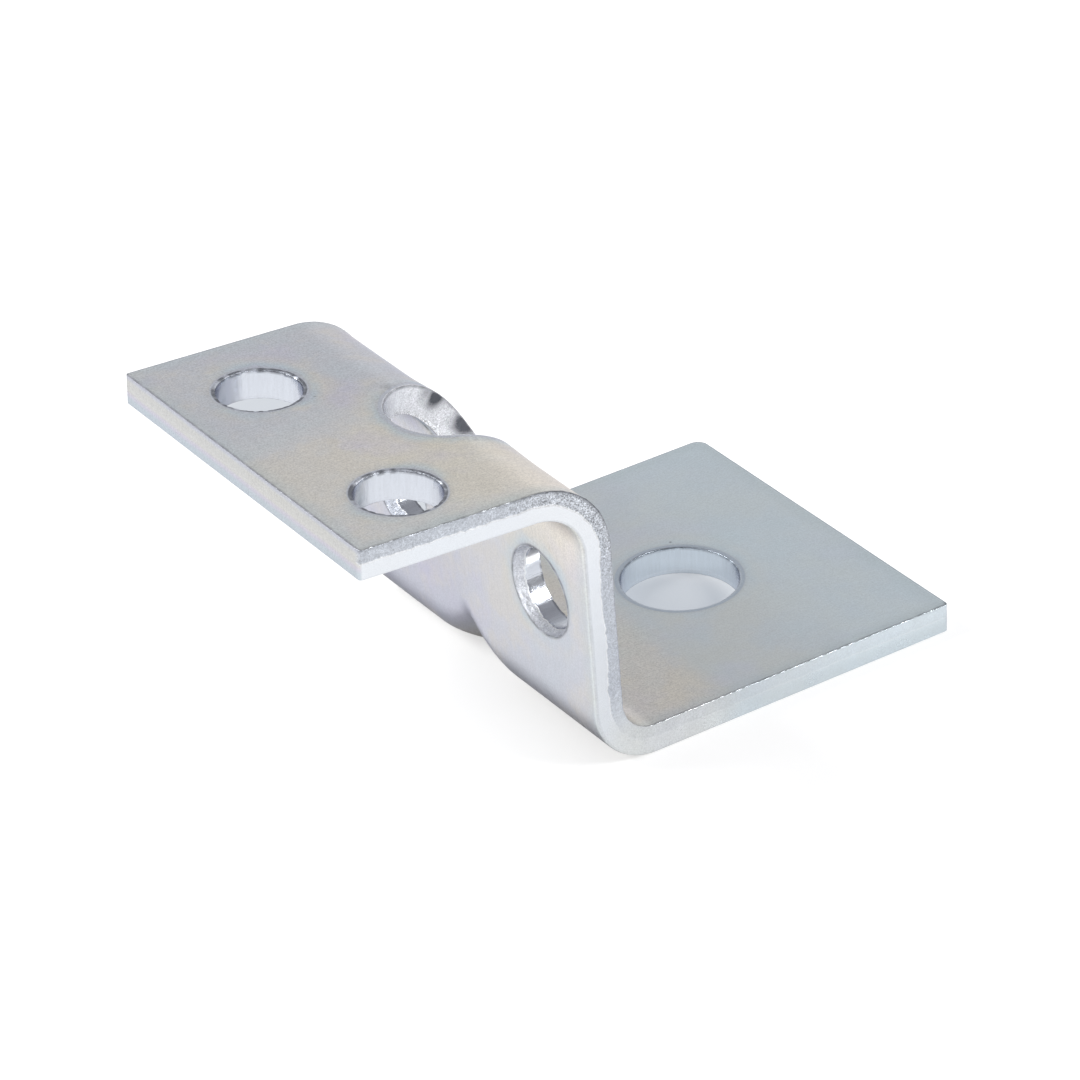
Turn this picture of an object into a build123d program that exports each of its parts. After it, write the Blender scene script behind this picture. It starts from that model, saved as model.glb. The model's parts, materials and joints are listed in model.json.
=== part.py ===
from build123d import *
from math import cos, pi, radians, sin, tan
import os

# A zinc plated bracket folded in a Z from one strip of steel: an upper flange that reaches out
# to one side, an upright web, and a longer lower flange that is bolted down on the other side.
# The origin is on the axis of the large bolt hole, on the underside of the lower flange.
# +X points from the bolt to the lower flange's free end, +Y into the depth and +Z up.

# The strip
sheet = 3.0
width = 40.0
strip_shift = 0.5               # the strip's middle lies this far behind the bolt's axis

# The fold, measured on the middle of the sheet between the corners of its two bends
upper_reach = 24.1
web_run = 28.1
lower_reach = 38.6
upper_tilt = 3.0                # degrees that the upper flange rises towards its free end
web_lean = 2.0                  # degrees that the web leans towards the upper flange
upper_bend_inside = 5.5
lower_bend_inside = 3.5
neutral_share = 0.42            # how deep in the sheet the layer lies that bending leaves its length

# The outline of the blank, with soft corners and the rounding that the press leaves on one face
upper_corner_radius = 0.4
back_corner_radius = 1.2
front_corner_radius = 0.4
pressed_edge_radius = 0.3

# The holes that are punched in the flat strip, in rows along it
bolt_hole_radius = 5.75
bolt_to_free_edge = 17.2
pair_hole_radius = 4.0
pair_spacing = 23.3
upper_row = 8.5                 # from the upper free edge to the upper flange's pair
bend_hole_row = 20.95           # and to the hole in the bend
web_row = 34.9                  # and to the web's pair
upper_pair_shift = 0.7          # the upper flange's pair lies this far in front of the bolt's axis
bend_hole_shift = 1.05          # and the hole in the bend lies this far
rim_steps = 32                 # the points that each rim of the bent hole is drawn through

# The stiffening gusset, pressed into the outside of the lower bend
gusset_shift = 2.2              # behind the bolt's axis
gusset_floor = 5.0              # from the sharp outer corner to the floor of the dent
gusset_flank = 57.0             # degrees between the dent's sides and its middle
gusset_nose = 1.7
gusset_wall = 2.7               # the stretched sheet between the dent and its ridge
gusset_mouth = 1.7              # rounding where the dent runs out into the bend
gusset_foot = 2.0               # rounding at the foot of the ridge


def on_strip(run, along):
    """The plane on the middle of the sheet, some way along one straight run of the fold."""
    heading = run % 0
    return Plane(origin=run @ 0 + heading * along, x_dir=heading, z_dir=heading.cross(Vector(0, 1, 0)))


def across_bend(bend):
    """The plane through the axis of a bend, square to the middle of its turn."""
    heading = bend % 0.5
    return Plane(origin=bend.arc_center, x_dir=heading, z_dir=heading.cross(Vector(0, 1, 0)))


def spot_through_bend(along, reach, turn, neutral_radius):
    """Where a wall of the flat strip, `along` past the bend line, meets a plane across the bend.

    The plane stands `reach` out from the axis of the bend. On the bend the wall points at that axis,
    and before and after the bend it stands square to the sheet.
    """
    on_bend = min(max(along, 0), turn * neutral_radius)
    return reach * tan(on_bend / neutral_radius - turn / 2) + (along - on_bend) / cos(turn / 2)


# The fold line runs from the upper free edge, down the web, to the lower free edge
lower_end = Vector(bolt_to_free_edge, strip_shift, sheet / 2)
lower_corner = lower_end - Vector(lower_reach, 0, 0)
upper_corner = lower_corner + Vector(-sin(radians(web_lean)), 0, cos(radians(web_lean))) * web_run
upper_end = upper_corner + Vector(-cos(radians(upper_tilt)), 0, sin(radians(upper_tilt))) * upper_reach
upper_turn = radians(90 - upper_tilt - web_lean)
lower_turn = radians(90 - web_lean)

with BuildPart() as z_bracket:
    # The strip, led along the fold line
    with BuildLine() as fold:
        FilletPolyline(
            upper_end, upper_corner, lower_corner, lower_end,
            radius=[upper_bend_inside + sheet / 2, lower_bend_inside + sheet / 2],
        )
    upper_flat, upper_bend, web_flat, lower_bend, lower_flat = fold.wire().order_edges()
    with BuildSketch(Plane(origin=fold.wire() @ 0, x_dir=(0, 1, 0), z_dir=fold.wire() % 0)):
        Rectangle(width, sheet)
    sweep(path=fold.wire())

    # The soft corners of the blank, at its lower end and then at its upper end
    for side, radius in ((-1, back_corner_radius), (0, front_corner_radius)):
        end_corners = z_bracket.edges().filter_by(Axis.Z).sort_by(Axis.X)[-2:]
        fillet(end_corners.sort_by(Axis.Y)[side], radius)
    through_upper = Axis(upper_end, on_strip(upper_flat, 0).z_dir)
    fillet(z_bracket.edges().filter_by(through_upper).sort_by(Axis.X)[:2], upper_corner_radius)

    # The press rounds one face's whole outline, a chain of edges that run smoothly into each other
    underside = z_bracket.faces().sort_by(Axis.Z)[0]
    fillet(underside.edges().sort_by(Axis.Y)[0], pressed_edge_radius)

    # The bolt hole and the two pairs of small holes
    with Locations(on_strip(lower_flat, lower_flat.length - bolt_to_free_edge)):
        with Locations((0, -strip_shift)):
            Hole(bolt_hole_radius, depth=sheet)
    with Locations(on_strip(upper_flat, upper_row)):
        with Locations((0, -strip_shift - upper_pair_shift)):
            with GridLocations(0, pair_spacing, 1, 2):
                Hole(pair_hole_radius, depth=sheet)
    neutral_radius = upper_bend_inside + neutral_share * sheet
    before_web = upper_flat.length + upper_turn * neutral_radius
    with Locations(on_strip(web_flat, web_row - before_web)):
        with Locations((0, -strip_shift)):
            with GridLocations(0, pair_spacing, 1, 2):
                Hole(pair_hole_radius, depth=sheet)

    # The hole across the upper bend was punched round in the flat strip and then bent with it, so
    # its wall is led through the bend from one rim inside it to another outside it. Both rims are
    # drawn at the same steps round the hole, which keeps each line of the wall straight and true
    bend_hole_centre = bend_hole_row - upper_flat.length
    rim_turns = [2 * pi * step / rim_steps for step in range(rim_steps)]
    for reach in (upper_bend_inside / 8, upper_bend_inside + 2 * sheet):
        rim = [
            Vector(
                spot_through_bend(
                    bend_hole_centre + bolt_hole_radius * cos(rim_turn), reach, upper_turn, neutral_radius
                ),
                bolt_hole_radius * sin(rim_turn) - strip_shift - bend_hole_shift,
            )
            for rim_turn in rim_turns
        ]
        with BuildSketch(across_bend(upper_bend).offset(reach)):
            with BuildLine():
                add(Edge.make_spline(rim, periodic=True, parameters=list(range(rim_steps + 1))))
            make_face()
    loft(ruled=True, mode=Mode.SUBTRACT)

    # The gusset: a rounded wedge is pressed straight across the outside of the lower bend, and the
    # stretched sheet stands out as a ridge inside it. The ridge is added first, then the dent is cut
    bisector = across_bend(lower_bend).z_dir
    outer_corner = lower_corner - bisector * (sheet / 2 / cos(lower_turn / 2))
    gusset_section = Plane(
        origin=outer_corner + Vector(0, gusset_shift - strip_shift, 0),
        x_dir=(0, 1, 0),
        z_dir=across_bend(lower_bend).x_dir,
    )
    nose_centre = gusset_floor - gusset_nose
    ridge_nose = gusset_nose + gusset_wall
    ridge_height = nose_centre + ridge_nose - sheet / cos(lower_turn / 2)
    ridge_reach = (ridge_height + gusset_floor) / 2 / tan(lower_turn / 2)
    dent_reach = lower_bend_inside + 2 * sheet
    for nose, base, reach, mode, rounding in (
        (ridge_nose, gusset_floor, ridge_reach, Mode.ADD, gusset_foot),
        (gusset_nose, 0, dent_reach, Mode.SUBTRACT, gusset_mouth),
    ):
        tip = nose_centre + nose / sin(radians(gusset_flank))
        half_base = (tip - base) * tan(radians(gusset_flank))
        with BuildSketch(gusset_section):
            with BuildLine():
                FilletPolyline((-half_base, base), (0, tip), (half_base, base), radius=nose)
                Line((half_base, base), (-half_base, base))
            make_face()
        extrude(amount=reach, both=True, mode=mode)
        brim = z_bracket.edges(Select.LAST).filter_by(GeomType.ELLIPSE).sort_by(Axis.Y)[0]
        fillet(brim, rounding)

z_bracket.part.label = "z_bracket"
os.makedirs("parts", exist_ok=True)
export_step(z_bracket.part, "parts/z_bracket.step")
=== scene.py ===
import json
from math import cos, pi, radians, sin, tan

import bpy
import numpy as np
from mathutils import Matrix, Vector, noise
from mathutils.geometry import delaunay_2d_cdt


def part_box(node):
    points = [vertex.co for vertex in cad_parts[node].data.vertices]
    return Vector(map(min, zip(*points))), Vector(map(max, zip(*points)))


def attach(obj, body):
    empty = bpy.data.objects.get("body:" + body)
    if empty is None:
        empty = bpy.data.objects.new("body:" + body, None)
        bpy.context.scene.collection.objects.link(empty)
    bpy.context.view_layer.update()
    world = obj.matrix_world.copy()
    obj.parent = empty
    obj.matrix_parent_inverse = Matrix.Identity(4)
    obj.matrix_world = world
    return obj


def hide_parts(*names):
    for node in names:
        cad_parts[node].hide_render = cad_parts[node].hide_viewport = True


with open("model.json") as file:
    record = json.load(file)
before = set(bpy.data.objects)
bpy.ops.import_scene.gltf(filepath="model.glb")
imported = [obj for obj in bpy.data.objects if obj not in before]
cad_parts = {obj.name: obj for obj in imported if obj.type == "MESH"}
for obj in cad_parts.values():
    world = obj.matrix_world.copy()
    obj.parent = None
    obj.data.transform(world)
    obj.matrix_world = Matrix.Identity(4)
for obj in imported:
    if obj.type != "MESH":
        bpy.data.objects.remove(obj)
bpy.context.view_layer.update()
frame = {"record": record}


# The blank. A strip of 3 mm rolled steel is cut to length and punched flat: two rows of screw
# holes, a round hole between them and a large bolt hole near the other end. Places on it are
# given along the strip from the upper free edge, and across it from the bolt hole's axis.
mm = 0.001
mounts = {mount["name"]: mount for mount in frame["record"]["mounts"]}
sheet = mounts["bolt_hole"]["dims"]["length_mm"]
bolt_hole_radius = mounts["bolt_hole"]["dims"]["r_mm"]
screw_hole_radius = mounts["upper_hole_front"]["dims"]["r_mm"]
front_edge, back_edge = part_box("z_bracket")[0].y / mm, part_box("z_bracket")[1].y / mm
right_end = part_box("z_bracket")[1].x / mm

upper_reach, web_run, lower_reach = 24.1, 28.1, 38.6    # between the corners of the fold
upper_tilt, web_lean = radians(3.0), radians(2.0)
upper_turn, lower_turn = radians(90) - upper_tilt - web_lean, radians(90) - web_lean
upper_bend_inside, lower_bend_inside = 5.5, 3.5
neutral_share = 0.42

upper_cut_back = (upper_bend_inside + sheet / 2) * tan(upper_turn / 2)
lower_cut_back = (lower_bend_inside + sheet / 2) * tan(lower_turn / 2)
upper_flat = upper_reach - upper_cut_back
web_flat = web_run - upper_cut_back - lower_cut_back
lower_flat = lower_reach - lower_cut_back
upper_neutral = upper_bend_inside + neutral_share * sheet
lower_neutral = lower_bend_inside + neutral_share * sheet
upper_bend_start = upper_flat
web_start = upper_bend_start + upper_turn * upper_neutral
lower_bend_start = web_start + web_flat
lower_start = lower_bend_start + lower_turn * lower_neutral
strip_length = lower_start + lower_flat

upper_row, bend_hole_row, web_row, bolt_to_end = 8.5, 20.95, 34.9, 17.2
bent_hole = (bend_hole_row, -1.05, bolt_hole_radius)
holes = [(strip_length - bolt_to_end, 0.0, bolt_hole_radius), bent_hole]
for name, row in (
    ("upper_hole_front", upper_row), ("upper_hole_back", upper_row),
    ("web_hole_front", web_row), ("web_hole_back", web_row),
):
    holes.append((row, mounts[name]["pos_m"][1] / mm, screw_hole_radius))


def hole_rim(hole, step):
    """The rim of a hole as a function that gives its points any distance into the sheet."""
    along, across, radius = hole
    count = round(2 * pi * radius / step)
    turns = np.arange(count) * 2 * pi / count
    outward = np.stack([np.cos(turns), np.sin(turns)], 1)

    def at(inset):
        return np.array([along, across]) + outward * (radius + np.asarray(inset)[..., None])

    return at, count


def blank_outline(step):
    """The cut edge of the blank in the same way, with its soft corners."""
    corners = np.array([
        (0, front_edge), (strip_length, front_edge), (strip_length, back_edge), (0, back_edge),
    ])
    tight, worn, least = 0.4, 1.2, 0.01
    corner_radii = (tight, tight, worn, tight)
    headings = np.array([(1, 0), (0, 1), (-1, 0), (0, -1)])
    runs = (strip_length, back_edge - front_edge) * 2
    places = []
    for side, radius in enumerate(corner_radii):
        next_radius = corner_radii[(side + 1) % 4]
        turn_count = max(6, round(pi / 2 * radius / step))
        places += [(side, turn / turn_count, radius, next_radius, 0) for turn in range(turn_count + 1)]
        count = round((runs[side] - radius - next_radius) / step)
        places += [(side, i / count, radius, next_radius, 1) for i in range(1, count)]
    side, share, radius, next_radius, straight = np.array(places).T
    side = side.astype(int)
    corner, ahead, before, run = corners[side], headings[side], headings[side - 1], np.array(runs)[side]

    def at(inset):
        inset = np.broadcast_to(inset, share.shape)
        begin, finish = np.maximum(radius, inset), run - np.maximum(next_radius, inset)
        on_side = corner + ahead * (begin + (finish - begin) * share)[:, None] - before * inset[:, None]
        left = np.maximum(radius - inset, least)[:, None]
        middle = corner + (ahead - before) * np.maximum(radius, inset + least)[:, None]
        turn = (share * pi / 2)[:, None]
        on_corner = middle + before * left * np.sin(turn) - ahead * left * np.cos(turn)
        return np.where(straight[:, None] > 0, on_side, on_corner)

    return at, len(places)


# The cut walls. Where the punch and the shear go through the sheet they first draw its face in to
# a round lip, then cut a bright smooth band, and at last the steel tears, which leaves a rough
# grey band, slightly wider, with a fine burr standing round its edge.
burr = 0.045


def rough(places, size, seed=0.0):
    """Even noise about nought at each place, with grains of the given size in millimetres."""
    return np.array([noise.noise(Vector(place) / size + Vector((seed, -seed, seed))) for place in places])


def cut_wall(
    rim, marks, lip_wide, lip_deep, lip_crumbs, lip_rough, lip_line, line_gaps, torn_share, flare,
    tear, bead_size, set_in,
):
    """Rows round one rim, from the lip's face to the burr's.

    Each has an inset, a depth below the face, how torn and burnished it is, how much painted
    shade and dark patch lies on it, and the painted highlight of the step.
    """
    lip_rows, torn_rows = 9, 9
    band_shares = (0.06, 0.13, 0.3, 0.5, 0.75, 0.95)
    spots = rim(0.0)
    torn_here, bright_here, burr_high, lip_size, shade_line, dark_patch = marks(spots)
    spots = np.column_stack([spots, np.zeros(len(spots))])
    wave = rough(spots, 5.0, 3.0) + 0.5 * rough(spots, 1.3, 7.0)
    torn_from = sheet * (1 - torn_share) + 0.22 * wave + 0.16 * rough(spots, 0.5, 4.0)
    rows = []
    crumb = rough(spots, 0.42, 11.0) * lip_crumbs
    # The dark line along the lip is painted shade.
    line = lip_line * np.clip(0.8 + line_gaps * rough(spots, 0.6, 21.0), 0, 1)
    for share in np.linspace(0, 1, lip_rows):
        inset = set_in + lip_size * lip_wide * (1 - share)**1.6 * (1 + 0.2 * wave)
        loose = crumb * np.clip(4 * share - 2.2, 0, 1)
        depth = burr + lip_size * lip_deep * share**2.2 + np.maximum(loose, -0.02)
        rows.append((
            inset + np.maximum(0.3 * loose, 0), depth, lip_rough * (share > 0.2), bright_here * share**5,
            line * lip_size * (share > 0.6 - 0.6 * lip_rough), 0.0))
    lip_end = burr + lip_size * lip_deep
    for share in band_shares:
        depth = lip_end + (torn_from - lip_end) * share
        # The lip's painted shade line reaches into the first bright row, and the dark patches fade down the
        # bright band.
        patch_here = dark_patch * np.clip(1.7 - 2.2 * share, 0, 1.4)
        shade_and_patch_here = np.maximum(0.7 * line * lip_size * (share < 0.1), patch_here)
        rows.append((set_in + 0.012 * rough(spots, 0.5, 2.0), depth, 0.0, bright_here, shade_and_patch_here, 0.0))
    for row in range(torn_rows + 1):
        share = row / torn_rows
        depth = torn_from + (sheet - burr - torn_from) * share
        places = np.column_stack([spots[:, :2], depth * 1.2])
        grain = 0.5 * rough(places, 0.8, 1.0) + 0.9 * rough(places, 0.34, 5.0)
        tear_share = min(1.0, 0.35 + 2 * share) * (1 - 0.6 * share**6)
        torn_out = flare * share**0.8 * torn_here
        inset = set_in + torn_out + (tear * grain + 0.4 * tear) * tear_share * torn_here
        # A painted shade line in the last torn rows, under the burr.
        shade_and_patch_here = shade_line * max(0.0, 6 * share - 5)
        rows.append((
            np.maximum(inset, 0.7 * set_in), depth, torn_here, bright_here * (1 - torn_here), shade_and_patch_here,
            # The first torn row carries the painted highlight line of the step.
            torn_here * (row == 0)))
    inset = rows[-1][0]
    bead = np.clip(0.2 + 3.0 * rough(spots, bead_size, 9.0) + 0.9 * rough(spots, 3.0, 2.0), 0.03, 0.75)
    # Painted shade between the burr's beads and in the dip at its foot.
    shade_dark = np.clip(burr_high / burr, 0, 1) * np.clip(0.8 + 1.2 * rough(spots, 1.2, 23.0), 0, 1)
    under_bead, between_beads = np.clip(1.6 - 1.5 * bead, 0, 1), np.clip(1.3 - 2.6 * bead, 0, 1)
    dark = np.maximum(shade_line * under_bead, shade_dark * between_beads)
    base = sheet - burr
    rows.append((inset + 0.01, base + 0.8 * burr_high * bead, 0.4 * torn_here, 0.8, 0.8 * dark, 0.0))
    rows.append((inset + 0.03 + 0.02 * bead, base + burr_high * bead, 0.0, 0.8, dark, 0.0))
    rows.append((inset + 0.08 + 0.02 * bead, base + 0.1 * burr_high * bead - 0.02, 0.0, 0.3, shade_dark, 0.0))
    rows.append((inset + 0.16, base - 0.03 * shade_dark, 0.0, 0.0, 0.7 * shade_dark, 0.0))
    rows.append((inset + 0.34, base - 0.01 * shade_dark, 0.0, 0.0, 0.0, 0.0))
    return rows


def outline_marks(spots):
    """The shear tore the front edge from the free end to the lower bend, and the rest only faintly.

    The burr stands along the front edge and the upper free end, with a painted shade line under
    it across the upper bend. The lip is rounder along the web.
    """
    along, across = spots[:, 0], spots[:, 1]
    front = np.clip((front_edge + 0.8 - across) / 0.6, 0, 1)
    free_end = np.clip(1.6 - 4 * along, 0, 1)
    torn_here = 0.1 + 0.9 * front * np.clip((lower_bend_start + 4 - along) / 6, 0.15, 1)
    burr_share = np.maximum(np.maximum(front, 0.7 * free_end), 0.08)
    burr_high = np.minimum(0.08, burr + 0.05 * along) * burr_share
    burr_high = burr_high * np.interp(along, [lower_bend_start, lower_start], [1.0, 0.6])
    bends = [upper_bend_start, web_start, lower_bend_start, lower_start]
    lip_size = np.interp(along, bends, [0.25, 1, 1, 0.25])
    line_at = [upper_bend_start - 4, upper_bend_start + 2, web_start - 4, web_start]
    shade_line = front * np.interp(along, line_at, [0.35, 1.0, 1.0, 0.1]) + 0.3 * free_end
    shade_line = np.clip(shade_line, 0, 1)
    return torn_here, 0.25 + 0.75 * torn_here, burr_high, lip_size, shade_line, np.zeros(len(along))


def hole_marks(hole, torn_here, dark_patch_turns):
    """The same for a hole, with dark patches at some turns round its rim."""
    dark_patch_width = 0.16

    def marks(spots):
        every = np.ones(len(spots))
        turn = np.arctan2(spots[:, 1] - hole[1], spots[:, 0] - hole[0])
        dark_patch = sum((np.exp(-((turn - at) / dark_patch_width)**2) for at in dark_patch_turns), 0 * every)
        dark_patch = dark_patch * np.clip(1.0 + 1.6 * rough(np.column_stack([spots, every]), 0.6, 31.0), 0, 1.2)
        # Every hole's rim has a faint painted shade line under its burr.
        return torn_here * every, every, burr * every, every, 0.3 * every, dark_patch

    return marks


# The strip's two faces are wound over a net of points, finer where the strip is bent, and the cut
# walls join them. The web's holes are torn widest, and the upper flange's have crumbly lips.
edge_margin, hole_margin, net_clearance = 1.25, 1.15, 0.25
rim_step = 0.2
outline_wall = dict(
    marks=outline_marks, lip_wide=0.4, lip_deep=0.22, lip_crumbs=0, lip_rough=0.0, lip_line=0.3,
    line_gaps=0.4, torn_share=0.46, flare=0.02, tear=0.1, bead_size=0.5, set_in=0.028)
cuts = [(*blank_outline(rim_step), edge_margin, outline_wall)]
for hole in holes:
    if hole == bent_hole:
        wall = dict(
            marks=hole_marks(hole, 0.3, (1.3, 0.72)), lip_wide=0.18, lip_deep=0.05, lip_crumbs=0.015,
            lip_rough=0.2, lip_line=0.8, line_gaps=0.5, torn_share=0.12, flare=0.02, tear=0.08)
    elif web_start < hole[0] < lower_bend_start:
        wall = dict(
            marks=hole_marks(hole, 1.0, ()), lip_wide=0.5, lip_deep=0.1, lip_crumbs=0.13,
            lip_rough=0.5, lip_line=1.0, line_gaps=2.5, torn_share=0.34, flare=0.33, tear=0.1)
    elif hole[2] < bolt_hole_radius:
        wall = dict(
            marks=hole_marks(hole, 0.1, ()), lip_wide=0.5, lip_deep=0.1, lip_crumbs=0.18,
            lip_rough=0.7, lip_line=1.0, line_gaps=2.5, torn_share=0.12, flare=0.0, tear=0.03)
    else:
        wall = dict(
            marks=hole_marks(hole, 0.1, ()), lip_wide=0.3, lip_deep=0.07, lip_crumbs=0.05,
            lip_rough=0.1, lip_line=0.6, line_gaps=2.5, torn_share=0.12, flare=0.0, tear=0.03)
    cuts.append((*hole_rim(hole, rim_step), hole_margin, dict(wall, bead_size=0.4, set_in=0.012)))

gusset_gap, bend_gap, flat_gap = 0.36, 0.44, 0.62
row_height = 0.87                       # of a gap, as in a net of even triangles
net_along, net_across = [], []
row_at, row_number = edge_margin, 0
while row_at < strip_length - edge_margin:
    near_gusset = lower_bend_start - 5 < row_at < lower_start + 5
    near_upper_bend = upper_bend_start - 1 < row_at < web_start + 1
    gap = gusset_gap if near_gusset else bend_gap if near_upper_bend else flat_gap
    stagger = 0.25 * gap if row_number % 2 else -0.25 * gap
    net_row = np.arange(front_edge + edge_margin, back_edge - edge_margin, gap) + stagger + gap / 2
    net_across.append(net_row)
    net_along.append(np.full(len(net_row), row_at))
    row_at += gap * row_height
    row_number += 1
net = np.column_stack([np.concatenate(net_along), np.concatenate(net_across)])


def gap_to_edge(places):
    """The distance from each place on the strip to its outline, and to the nearest hole."""
    along, across = places[:, 0], places[:, 1]
    outline = np.minimum.reduce([along, strip_length - along, across - front_edge, back_edge - across])
    nearest = np.min([np.hypot(along - hole[0], across - hole[1]) - hole[2] for hole in holes], axis=0)
    return outline, nearest


outline_gap, hole_gap = gap_to_edge(net)
net = net[(outline_gap > edge_margin + net_clearance) & (hole_gap > hole_margin + net_clearance)]

loop_points, loop_edges, loop_at = [], [], []
start = 0
for rim, count, margin, wall in cuts:
    loop_points.append(rim(margin))
    loop_at.append(start)
    loop_edges += [(start + i, start + (i + 1) % count) for i in range(count)]
    start += count
face_points = np.vstack(loop_points + [net])
all_triangles, closeness = 0, 1e-6
found = delaunay_2d_cdt(
    [Vector(point) for point in face_points], loop_edges, [], all_triangles, closeness)
face_points = np.array([tuple(point) for point in found[0]])
origin_of = {first[0]: new for new, first in enumerate(found[3]) if first}
triangles = np.array(found[2])
middles = face_points[triangles].mean(axis=1)
outline_gap, hole_gap = gap_to_edge(middles)
almost = 0.98
triangles = triangles[(outline_gap > edge_margin * almost) & (hole_gap > hole_margin * almost)]

flat_spots, depths, torn, burnished, grimy, stepped, polygons = [], [], [], [], [], [], []


def lay(spots, depth, *marks_here):
    """Adds points of the strip and gives the number of the first."""
    first = sum(len(part) for part in flat_spots)
    flat_spots.append(spots)
    values = depth, *(marks_here or (0, 0, 0, 0))
    for part, value in zip((depths, torn, burnished, grimy, stepped), values):
        part.append(np.broadcast_to(value, len(spots)))
    return first


punched_face = lay(face_points, burr)
pressed_face = lay(face_points, sheet - burr)
polygons += [tuple(int(punched_face + corner) for corner in triangle) for triangle in triangles]
polygons += [tuple(int(pressed_face + corner) for corner in triangle[::-1]) for triangle in triangles]

for number, (rim, count, margin, wall) in enumerate(cuts):
    rows = cut_wall(rim, **wall)
    outer = number == 0                 # the outline was cut from the other face than the holes
    lip_face, burr_face = (pressed_face, punched_face) if outer else (punched_face, pressed_face)
    rings = [[lip_face + origin_of[loop_at[number] + i] for i in range(count)]]
    for inset, depth, *marks_here in rows:
        depth = sheet - depth if outer else depth
        first = lay(rim(inset), depth, *marks_here)
        rings.append([first + i for i in range(count)])
    rings.append([burr_face + origin_of[loop_at[number] + i] for i in range(count)])
    for upper, lower in zip(rings, rings[1:]):
        for i in range(count):
            j = (i + 1) % count
            polygons.append((upper[i], upper[j], lower[j], lower[i]))

flat_spots = np.vstack(flat_spots)
depths = np.concatenate(depths)
torn = np.concatenate(torn)
burnished = np.concatenate(burnished)
grimy = np.concatenate(grimy)
stepped = np.concatenate(stepped)
edge_gap, rim_gap = gap_to_edge(flat_spots)


# The fold. The punched strip is bent down and out again in a press brake. Beside the hole in the
# upper bend there is less steel to hold the turn, so the rim swells out there.
swell_high, swell_slant, swell_reach = 0.19, 0.022, 4.5
edge_curl, curl_reach, crown_high = 0.07, 2.0, 0.07
waviness, wave_length = 0.016, 9.0


def turned(angle):
    """The way ahead along a run with this heading, and the way out of its punched face."""
    return np.stack([np.cos(angle), np.sin(angle)], -1), np.stack([-np.sin(angle), np.cos(angle)], -1)


def folded(spots, depth):
    """Where the fold puts places of the flat strip, in millimetres. Depth is below the punched face."""
    along, across = spots[:, 0], spots[:, 1]
    lift = sheet / 2 - depth
    bend_share = np.clip((along - upper_bend_start) / (web_start - upper_bend_start), 0, 1)
    from_side = np.minimum(across - front_edge, back_edge - across)
    from_rim = np.hypot(along - bent_hole[0], across - bent_hole[1]) - bent_hole[2]
    behind_hole = np.clip(across - bent_hole[1], -3, 3)
    swell = (swell_high + swell_slant * behind_hole) * np.clip(1 - from_rim / swell_reach, 0, 1) ** 1.3
    curl = edge_curl * np.clip(1 - from_side / curl_reach, 0, 1) ** 2
    wave = waviness * rough(np.column_stack([spots, np.zeros(len(spots))]), wave_length)
    lift = lift + (swell + curl + crown_high) * np.sin(pi * bend_share) + wave
    end = np.array([right_end - lower_reach, sheet / 2])
    end = end + np.array([-sin(web_lean), cos(web_lean)]) * web_run
    place = end + np.array([-cos(upper_tilt), sin(upper_tilt)]) * upper_reach
    heading, begin = -upper_tilt, 0.0
    out = np.zeros((len(along), 2))
    for length, turn, radius in (
        (upper_flat, 0.0, 0.0),
        (upper_turn * upper_neutral, -upper_turn, upper_bend_inside + sheet / 2),
        (web_flat, 0.0, 0.0),
        (lower_turn * lower_neutral, lower_turn, lower_bend_inside + sheet / 2),
        (lower_flat, 0.0, 0.0),
    ):
        here = (along >= begin - 1e-9) if begin else np.ones(len(along), bool)
        ahead, out_of_face = turned(np.array(heading))
        if turn:
            centre = place + np.sign(turn) * out_of_face * radius
            angle = heading + turn * (along - begin) / length
            out_there = turned(angle)[1]
            spot = centre - np.sign(turn) * out_there * radius + out_there * lift[:, None]
            place = centre - np.sign(turn) * turned(np.array(heading + turn))[1] * radius
        else:
            spot = place + ahead * (along - begin)[:, None] + out_of_face * lift[:, None]
            place = place + ahead * length
        out[here] = spot[here]
        heading, begin = heading + turn, begin + length
    return np.column_stack([out[:, 0], across, out[:, 1]])


points = folded(flat_spots, depths)


# The gusset. A blunt wedge is pressed into the outside of the lower bend, so that the two legs
# can't open: it leaves a dent there, and a ridge stands out inside the bend.
gusset_across, gusset_floor, gusset_flank = 2.2, 4.75, radians(57)
gusset_nose, gusset_wall = 1.7, 2.7
gusset_mouth, gusset_foot, gusset_reach = 1.6, 1.6, 7

inward = np.array([sin(lower_turn / 2), 0, cos(lower_turn / 2)])
corner = np.array([right_end - lower_reach, 0, sheet / 2]) - inward * sheet / 2 / cos(lower_turn / 2)


def wedge(across, nose, top):
    """The height of a round-nosed wedge over the sharp outer corner, at places across the strip."""
    aside = np.abs(across - gusset_across)
    on_nose = nose * cos(gusset_flank)
    nose_height = top - nose + np.sqrt(np.maximum(nose**2 - aside**2, 0))
    flank_height = top - nose + nose * sin(gusset_flank) - (aside - on_nose) / tan(gusset_flank)
    return np.where(aside < on_nose, nose_height, flank_height)


def soft_maximum(first, second, soft):
    """The greater of the two, with a rounding where they cross."""
    share = np.clip(0.5 + 0.5 * (first - second) / soft, 0, 1)
    return second + (first - second) * share + soft * share * (1 - share)


height = (points - corner) @ inward
bend_from, bend_to = lower_bend_start - gusset_reach, lower_start + gusset_reach
near_bend = (flat_spots[:, 0] > bend_from) & (flat_spots[:, 0] < bend_to)
pressed = near_bend & (depths > sheet / 2)
raised = near_bend & (depths <= sheet / 2)
pushed = height.copy()
dent = wedge(points[pressed, 1], gusset_nose, gusset_floor)
ridge = wedge(points[raised, 1], gusset_nose + gusset_wall, gusset_floor + gusset_wall)
pushed[pressed] = soft_maximum(height[pressed], dent, gusset_mouth)
pushed[raised] = soft_maximum(height[raised], ridge, gusset_foot)
points += (pushed - height)[:, None] * inward

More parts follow.
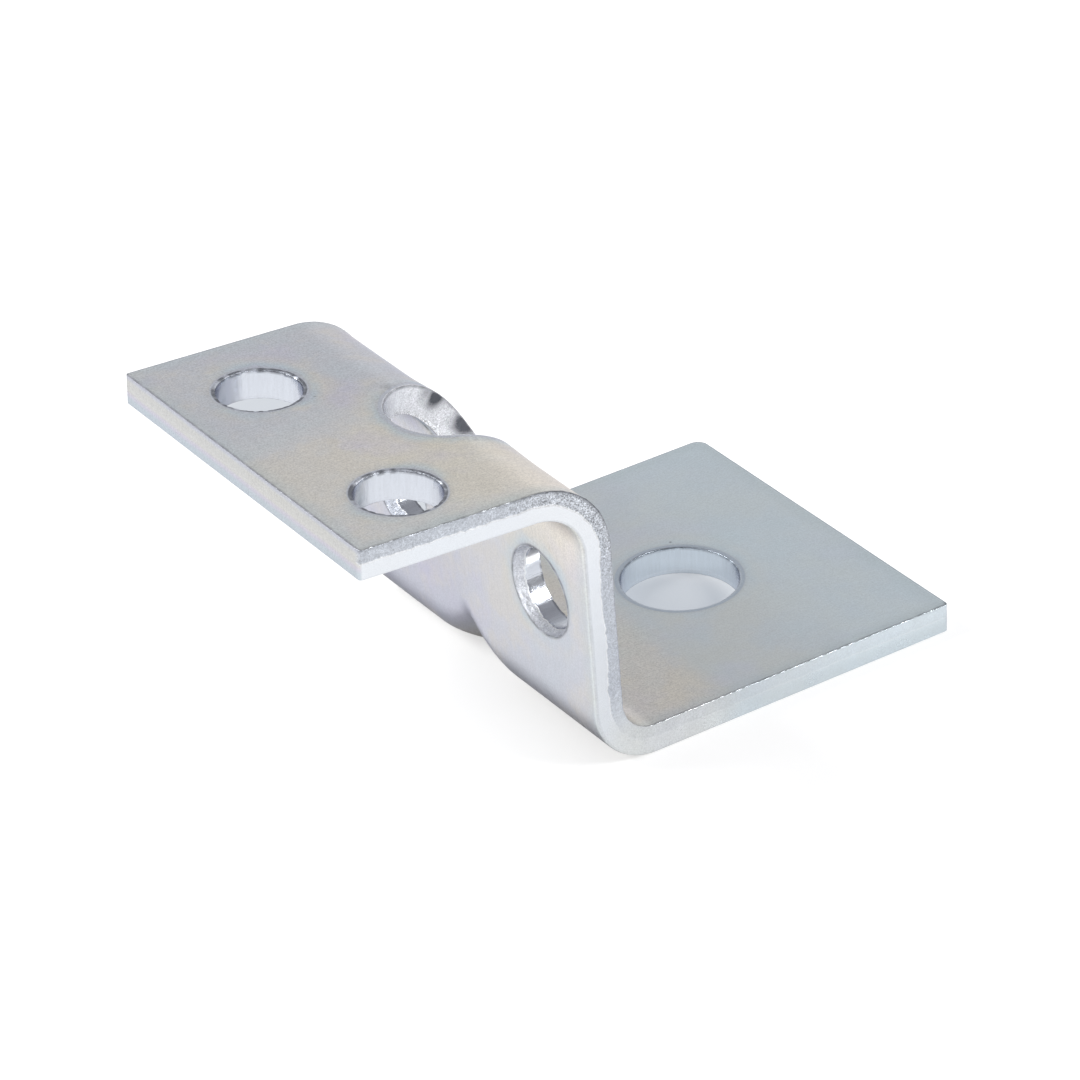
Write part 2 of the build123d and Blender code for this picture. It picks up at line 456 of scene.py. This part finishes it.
mesh = bpy.data.meshes.new("plated_bracket")
mesh.from_pydata([tuple(point) for point in points * mm], [], polygons)
for name, values in (
    ("torn", torn), ("burnished", burnished), ("grimy", grimy), ("stepped", stepped),
    ("edge_gap", edge_gap), ("rim_gap", rim_gap),
):
    mesh.attributes.new(name, "FLOAT", "POINT").data.foreach_set("value", np.array(values, dtype=float))
flat_place = mesh.attributes.new("flat_place", "FLOAT_VECTOR", "POINT")
flat_place.data.foreach_set("vector", np.column_stack([flat_spots, depths]).ravel())
mesh.polygons.foreach_set("use_smooth", [True] * len(mesh.polygons))
mesh.validate()
bracket = bpy.data.objects.new("plated_bracket", mesh)
bpy.context.collection.objects.link(bracket)


# The finish. The whole bracket is plated with zinc after it is folded: a thin bright coat with a
# passivation film that shows faint yellow, lavender and teal clouds over the rolled grain.
class Wire:
    """A socket of a finish. Sums on it add Math nodes, and any other node comes from node()."""

    def __init__(self, tree, socket=None):
        self.tree = tree
        self.socket = socket

    def node(self, kind, settings=(), sockets=(), out=0):
        """Adds a node, with its settings first and then the values or links of its sockets."""
        made = self.tree.nodes.new("ShaderNode" + kind)
        for name, value in dict(settings).items():
            if name == "stops":
                bands = made.color_ramp.elements
                while len(bands) < len(value):
                    bands.new(0.5)
                for band, (position, colour) in zip(bands, value):
                    band.position = position
                    band.color = (*colour, 1)
            else:
                setattr(made, name, value)
        for name, value in dict(sockets).items():
            if isinstance(value, Wire):
                self.tree.links.new(made.inputs[name], value.socket)
            else:
                made.inputs[name].default_value = value
        return Wire(self.tree, made.outputs[out]) if made.outputs else None

    def sum(self, operation, *values):
        return self.node("Math", {"operation": operation}, enumerate(values))

    def __add__(self, other):
        return self.sum("ADD", self, other)

    def __sub__(self, other):
        return self.sum("SUBTRACT", self, other)

    def __rsub__(self, other):
        return self.sum("SUBTRACT", other, self)

    def __mul__(self, other):
        return self.sum("MULTIPLY", self, other)

    __radd__ = __add__
    __rmul__ = __mul__

    def under(self, colour, share, blend="MIX"):
        """This colour with another laid over it by a share."""
        colour = colour if isinstance(colour, Wire) else (*colour, 1)
        settings = {"data_type": "RGBA", "blend_type": blend}
        return self.node("Mix", settings, {0: share, 6: self, 7: colour}, 2)


def clean_tree(owner):
    """The emptied nodes of a material or of the world, as a wire to start from."""
    owner.use_nodes = True
    owner.node_tree.nodes.clear()
    return Wire(owner.node_tree)


def fade(value, begin, end):
    """How far a value has come from one place to another, from 0 to 1, with a soft start and end."""
    return value.node("MapRange", {"interpolation_type": "SMOOTHSTEP"}, {0: value, 1: begin, 2: end})


def between(value, begin, end, low=0.0, high=1.0):
    """The same in a straight line, from a low result to a high one."""
    return value.node("MapRange", {"clamp": True}, {0: value, 1: begin, 2: end, 3: low, 4: high})


def clouds(places, scale, detail, roughness):
    """Soft noise from 0 to 1 over the plate."""
    sockets = {"Vector": places, "Scale": scale, "Detail": detail, "Roughness": roughness}
    return places.node("TexNoise", sockets=sockets)


def grey_of(value):
    """A value as a grey colour, for multiplying a tint."""
    return value.node("CombineColor", sockets={0: value, 1: value, 2: value})


zinc = bpy.data.materials.new("zinc_plate")
plate = clean_tree(zinc)
place = plate.node("Attribute", {"attribute_name": "flat_place"}, out=1)
torn_mark, burnish_mark, shade_and_patch_mark, step_highlight_mark, edge_near, rim_near = (
    plate.node("Attribute", {"attribute_name": name}, out=2)
    for name in ("torn", "burnished", "grimy", "stepped", "edge_gap", "rim_gap")
)
along, across, below_face = (
    place.node("SeparateXYZ", sockets={0: place}, out=axis) for axis in range(3)
)

# The film's clouds, and where on the strip the plating took another tone
big_clouds = clouds(place, 0.085, 2.5, 0.5)
small_clouds = clouds(place, 0.24, 4, 0.6)
moved = place.node("VectorMath", {"operation": "ADD"}, {0: place, 1: (31, 17, 5)})
lavender_clouds = clouds(moved, 0.14, 3, 0.55)
lavender = between(lavender_clouds, 0.52, 0.68)
straw_clouds = between(0.6 * small_clouds + 0.4 * big_clouds, 0.5, 0.6)
patchy = between(lavender_clouds, 0.42, 0.6, 0.05, 0.6)
drift, small_drift = big_clouds - 0.5, small_clouds - 0.5

free_part = fade(along + 6 * drift, 9.0, 5.0)
warm_part = fade(along + 7 * drift, 8.0, 14.0)
crown = fade(along, 15.5, 20.0)
on_upper_bend = fade(along, 12.0, 21.0)
on_web, past_web = fade(along, 24.0, 34.0), fade(along, 46.0, 50.0)
web_alone = on_web * (1 - past_web)
lower = fade(along + 8 * drift, 57.0, 62.0)
end_part = fade(along + 6 * small_drift, 68.0, 78.0)
near_side = fade(across + 9 * drift, 7.0, -5.0)
bend_near = fade(across, -6.0, -18.0)
by_rim, shaded = fade(rim_near, 4.0, 0.3), fade(rim_near, 1.0, 0.3)
by_edge = fade(edge_near + small_clouds, 2.6, 0.6)

tint = big_clouds.node("ValToRGB", {"stops": [
    (0.32, (0.64, 0.70, 0.74)), (0.45, (0.68, 0.69, 0.72)), (0.57, (0.73, 0.70, 0.66)),
    (0.70, (0.72, 0.68, 0.61)),
]}, {0: big_clouds + 0.55 * small_drift})
ring = rim_near.node("ValToRGB", {"stops": [
    (0.0, (0.55, 0.57, 0.68)), (0.2, (0.57, 0.70, 0.74)), (0.45, (0.76, 0.73, 0.61)),
    (1.0, (0.70, 0.70, 0.70)),
]}, {0: 0.22 * rim_near + 0.5 * small_drift})
lavender_film, lavender_haze = (0.70, 0.67, 0.78), (0.64, 0.62, 0.74)
straw, bend_straw = (0.86, 0.82, 0.71), (0.75, 0.72, 0.64)
cream, gold_and_highlight = (0.77, 0.74, 0.68), (0.92, 0.86, 0.77)
teal_zinc, pale_teal, edge_teal = (0.64, 0.72, 0.75), (0.71, 0.82, 0.88), (0.60, 0.68, 0.70)
cool_zinc, far_zinc, lip_shade = (0.65, 0.69, 0.75), (0.63, 0.65, 0.69), (0.42, 0.43, 0.44)
web_zinc, web_shade = (0.69, 0.71, 0.77), (0.56, 0.56, 0.66)
for film, share in (
    (lavender_film, 0.7 * lavender),
    (teal_zinc, 0.6 * lower),
    (pale_teal, 0.45 * end_part),
    (cool_zinc, 0.3 * free_part),
    (far_zinc, 0.55 * (1 - near_side) * (1 - on_web)),
    (straw, 0.6 * near_side * (0.55 + 0.45 * warm_part) * (1 - on_web)),
    (web_zinc, 0.7 * web_alone),
    (web_shade, 0.4 * web_alone * (1 - near_side)),
    (cream, 0.4 * straw_clouds * (1 - lower)),
    (lavender_haze, 0.3 * lavender * (1 - lower)),
    # The gold at the near side of the upper bend's crown is partly the film's tone and partly a painted
    # highlight.
    (gold_and_highlight, 0.75 * crown * bend_near * (1 - on_web)),
    (bend_straw, 0.6 * past_web * (1 - lower)),
    (ring, patchy * by_rim * (1 - 0.6 * lower)),
    (lip_shade, 0.3 * shaded),
    (edge_teal, 0.4 * by_edge),
):
    tint = tint.under(film, share)

# The cut walls, and the grain that rolling and punching left in the steel
long_way = place.node("VectorMath", {"operation": "MULTIPLY"}, {0: place, 1: (0.5, 5.0, 0.5)})
down_way = place.node("VectorMath", {"operation": "MULTIPLY"}, {0: place, 1: (4.0, 4.0, 0.35)})
grain = clouds(place, 6.0, 4, 0.75)
rolled = clouds(long_way, 1.0, 3, 0.7)
drawn = clouds(down_way, 1.0, 3, 0.7)
speckle = clouds(place, 8.0, 3, 0.8)
patches = clouds(place, 1.7, 3, 0.6)

coarse = on_upper_bend * (1 - on_web)
in_hole, in_bent_hole = between(rim_near, 0.55, 0.45), between(rim_near, 0.2, 0.1)
bent_wall = in_bent_hole * coarse
free_end = between(along, 0.3, 0.12)
front_half = between(across, 3.0, -3.0)
end_bands = below_face.node("ValToRGB", {"stops": [
    (0.06, (0.56, 0.57, 0.64)), (0.2, (0.61, 0.60, 0.56)), (0.5, (0.63, 0.62, 0.58)),
    (0.64, (0.60, 0.57, 0.65)), (0.78, (0.51, 0.57, 0.62)),
]}, {0: 0.333 * below_face + 0.1 * small_drift})
bright_band, lower_band = (0.74, 0.77, 0.82), (0.60, 0.66, 0.73)
hole_wall, bolt_hole_wall, bent_hole_wall = (0.60, 0.63, 0.69), (0.47, 0.54, 0.61), (0.86, 0.87, 0.90)
torn_steel, bright_tear = (0.53, 0.56, 0.62), (0.84, 0.86, 0.91)
for band, share in (
    (bright_band, 0.8 * burnish_mark * (1 - lower)),
    (lower_band, 0.8 * burnish_mark * lower),
    (end_bands, 0.8 * free_end),
    (hole_wall, 0.85 * in_hole),
    (bolt_hole_wall, 0.8 * in_hole * lower),
    (torn_steel, 0.85 * torn_mark),
    (bright_tear, torn_mark * in_hole * on_web * (0.1 + 0.75 * front_half)),
    (bent_hole_wall, 0.9 * bent_wall),
):
    tint = tint.under(band, share)

glint = between(0.85 * speckle + 0.15 * patches, 0.36, 0.64)
glint = 1.0 + (glint - 0.52) * (0.5 + coarse)
tint = tint.under(grey_of(glint), torn_mark + 0.45 * bent_wall, "MULTIPLY")
step_highlight_white, shade_dark, fleck_black = (0.95, 0.96, 0.97), (0.10, 0.105, 0.12), (0.12, 0.12, 0.14)
# Painted highlight: a white line along the step from the bright band to the torn one.
tint = tint.under(step_highlight_white, 0.8 * step_highlight_mark)
# Painted shade: the dark lines along the lips and under the burrs; also the dark patches in the bent hole's
# wall.
tint = tint.under(shade_dark, shade_and_patch_mark * (0.75 + 0.2 * coarse) * (0.4 + 1.2 * speckle))
face_grain = (0.8 * grain + 0.2 * rolled - 0.5) * (1.35 - 0.7 * lower - 0.7 * web_alone)
wall_grain = 0.2 * (drawn - 0.5) * burnish_mark * in_hole
paper_grain = 1.0 + face_grain * (1 - 0.8 * burnish_mark) + wall_grain
tint = tint.under(grey_of(paper_grain), 1.0, "MULTIPLY")

# A few dark flecks, and the relief of the grain
flecks = place.node("TexVoronoi", {"feature": "F1"}, {"Vector": place, "Scale": 0.16, "Randomness": 1.0})
fleck_size = place.node("TexNoise", sockets={"Vector": place, "Scale": 0.4, "Detail": 0})
tint = tint.under(fleck_black, 0.8 * fade(flecks, 0.06 * fleck_size, 0.02 * fleck_size))
face_relief = (0.5 * grain + 0.25 * rolled) * (1 - burnish_mark)
wall_relief = (0.5 + 0.4 * in_hole) * drawn * burnish_mark
torn_relief = speckle * torn_mark * (1.2 + 1.8 * coarse + 1.5 * in_hole)
relief = face_relief + wall_relief + torn_relief + 2.0 * speckle * bent_wall
bump = place.node("Bump", sockets={"Strength": 0.6, "Distance": 0.00004, "Height": relief})
sheen = 0.36 + 0.2 * small_drift + 0.12 * (grain - 0.5)
shader = plate.node("BsdfPrincipled", sockets={
    "Base Color": tint,
    "Metallic": 1.0 - 0.6 * bent_wall,
    "Specular Tint": (0.64, 0.64, 0.69, 1),
    "Roughness": sheen - 0.16 * burnish_mark + 0.1 * torn_mark,
    "Normal": bump,
})
shader.node("OutputMaterial", sockets={"Surface": shader})
mesh.materials.append(zinc)

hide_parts("z_bracket")
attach(bracket, "root")


# The studio: white paper that runs out of sight, a bright surround that grows darker overhead and
# behind the camera, and two soft lamps, one behind the bracket on its left and one in front on its
# right. The camera sees the paper white, with a faint shadow, and pale grey through the holes,
# where a shadow is painted on it.
reach = 3
floor_corners = [(-reach, -reach, 0), (reach, -reach, 0), (reach, reach, 0), (-reach, reach, 0)]
floor_mesh = bpy.data.meshes.new("floor")
floor_mesh.from_pydata(floor_corners, [], [(0, 1, 2, 3)])
floor = bpy.data.objects.new("floor", floor_mesh)
bpy.context.collection.objects.link(floor)
paper = bpy.data.materials.new("floor_paper")
page = clean_tree(paper)
on_paper = page.node("TexCoord", out=3)
floor_x, floor_y = (
    on_paper.node("SeparateXYZ", sockets={0: on_paper}, out=axis) for axis in range(2)
)

# A painted shade dims the paper where the web mirrors it from under the upper flange. A painted
# shadow greys it under the bolt hole, and in a soft band behind the upper flange, which the camera
# sees through the holes; the lamps cast neither.
painted_contact_shade = fade(floor_x, -0.0275, -0.0215) * fade(floor_y, -0.0205, -0.0165) * fade(floor_x, -0.008, -0.012)
painted_band_shadow = fade(floor_x, -0.019, -0.0135) * fade(floor_x, 0.0035, -0.002)
painted_band_shadow = painted_band_shadow * fade(floor_y, 0.010, 0.016) * fade(floor_y, 0.070, 0.060)
from_bolt = on_paper.node("VectorMath", {"operation": "DISTANCE"}, {0: on_paper, 1: (-0.0015, 0, 0)}, out=1)
painted_shadow = painted_band_shadow.sum("MAXIMUM", painted_band_shadow, fade(from_bolt, 0.011, 0.0045))

by_camera, by_gloss, by_glass = (
    page.node("LightPath", out=ray) for ray in ("Is Camera Ray", "Is Glossy Ray", "Is Transmission Ray")
)
paper_grey, white, cool_blue = (0.46, 0.46, 0.46, 1), (1, 1, 1, 1), (0.0, 0.43, 1, 1)
matt = page.node("BsdfDiffuse", sockets={"Color": paper_grey})
glow = page.node("Emission", sockets={"Color": white, "Strength": 0.605})
unlit = page.node("Emission", sockets={"Color": white, "Strength": 0.0})
# A faint blue glow in the painted shadow, seen by the camera.
painted_shadow_blue = page.node("Emission", sockets={"Color": cool_blue, "Strength": 0.2})
half_lit = matt.node("MixShader", sockets={0: 0.4 * painted_shadow * by_camera, 1: matt, 2: painted_shadow_blue})
# The glow is dimmed by the painted shadow for the camera, and by the painted contact shade in reflections.
dimmer = 0.5 * painted_shadow * by_camera + by_gloss * (0.07 + 0.84 * painted_contact_shade)
seen_glow = glow.node("MixShader", sockets={0: dimmer, 1: glow, 2: unlit})
lit = matt.node("AddShader", sockets={0: half_lit, 1: seen_glow})
floor_shader = matt.node("MixShader", sockets={0: by_camera + by_gloss + by_glass, 1: matt, 2: lit})
floor_shader.node("OutputMaterial", sockets={"Surface": floor_shader})
floor_mesh.materials.append(paper)

world = bpy.data.worlds.new("surround")
bpy.context.scene.world = world
surround = clean_tree(world)
direction = surround.node("TexCoord")
rising = direction.node("SeparateXYZ", sockets={0: direction}, out=2)
height_light = rising.node("ValToRGB", {"stops": [
    (0.0, (0.9, 0.9, 0.9)), (0.12, (1.1, 1.08, 1.05)), (0.3, (0.98, 0.97, 0.96)),
    (0.5, (0.66, 0.67, 0.68)), (0.65, (0.5, 0.5, 0.52)), (1.0, (0.3, 0.3, 0.32)),
]}, {0: rising})
front_left = (-0.54, -0.84, 0.0)
sockets = {0: direction, 1: front_left}
towards = direction.node("VectorMath", {"operation": "DOT_PRODUCT"}, sockets, out=1)
dark_room = (0.06, 0.06, 0.07)
light = height_light.under(dark_room, 0.7 * fade(towards, 0.0, 0.6))
plain = surround.node("Background", sockets={"Color": light, "Strength": 1.0})
plain.node("OutputWorld", sockets={"Surface": plain})

lit_spot = Vector((-0.015, 0, 0.01))
for name, stand, size, power in (
    ("back_left", (-0.6, 0.44, 0.68), 0.36, 7.6),
    ("front_right", (0.5, -0.62, 0.66), 0.4, 6.8),
):
    lamp = bpy.data.lights.new(name, "AREA")
    lamp.shape = "DISK"
    lamp.size = size
    lamp.energy = power
    holder = bpy.data.objects.new(name, lamp)
    holder.location = stand
    holder.rotation_euler = (lit_spot - Vector(stand)).to_track_quat("-Z", "Y").to_euler()
    bpy.context.collection.objects.link(holder)


# The camera stands in front of the bracket, to its left and above it, and is turned a little on
# its own axis, all as in the photograph.
aim = Vector((-12.57, 4.73, 9.62)) * mm
distance = 450.3 * mm
azimuth, elevation, roll = radians(-32.68), radians(30.75), radians(-2.84)
backward = Vector((sin(azimuth) * cos(elevation), -cos(azimuth) * cos(elevation), sin(elevation)))
level = Vector((cos(azimuth), sin(azimuth), 0))
rise = backward.cross(level)
rightward = cos(roll) * level + sin(roll) * rise
upward = -sin(roll) * level + cos(roll) * rise
turn = Matrix((rightward, upward, backward)).transposed().to_4x4()
camera_data = bpy.data.cameras.new("camera")
camera_data.sensor_width = 36
camera_data.lens = 159.35
camera_data.clip_start, camera_data.clip_end = 0.01, 10
camera = bpy.data.objects.new("camera", camera_data)
camera.matrix_world = Matrix.Translation(aim + backward * distance) @ turn
bpy.context.collection.objects.link(camera)
bpy.context.scene.camera = camera
bpy.context.scene.view_settings.view_transform = "Standard"
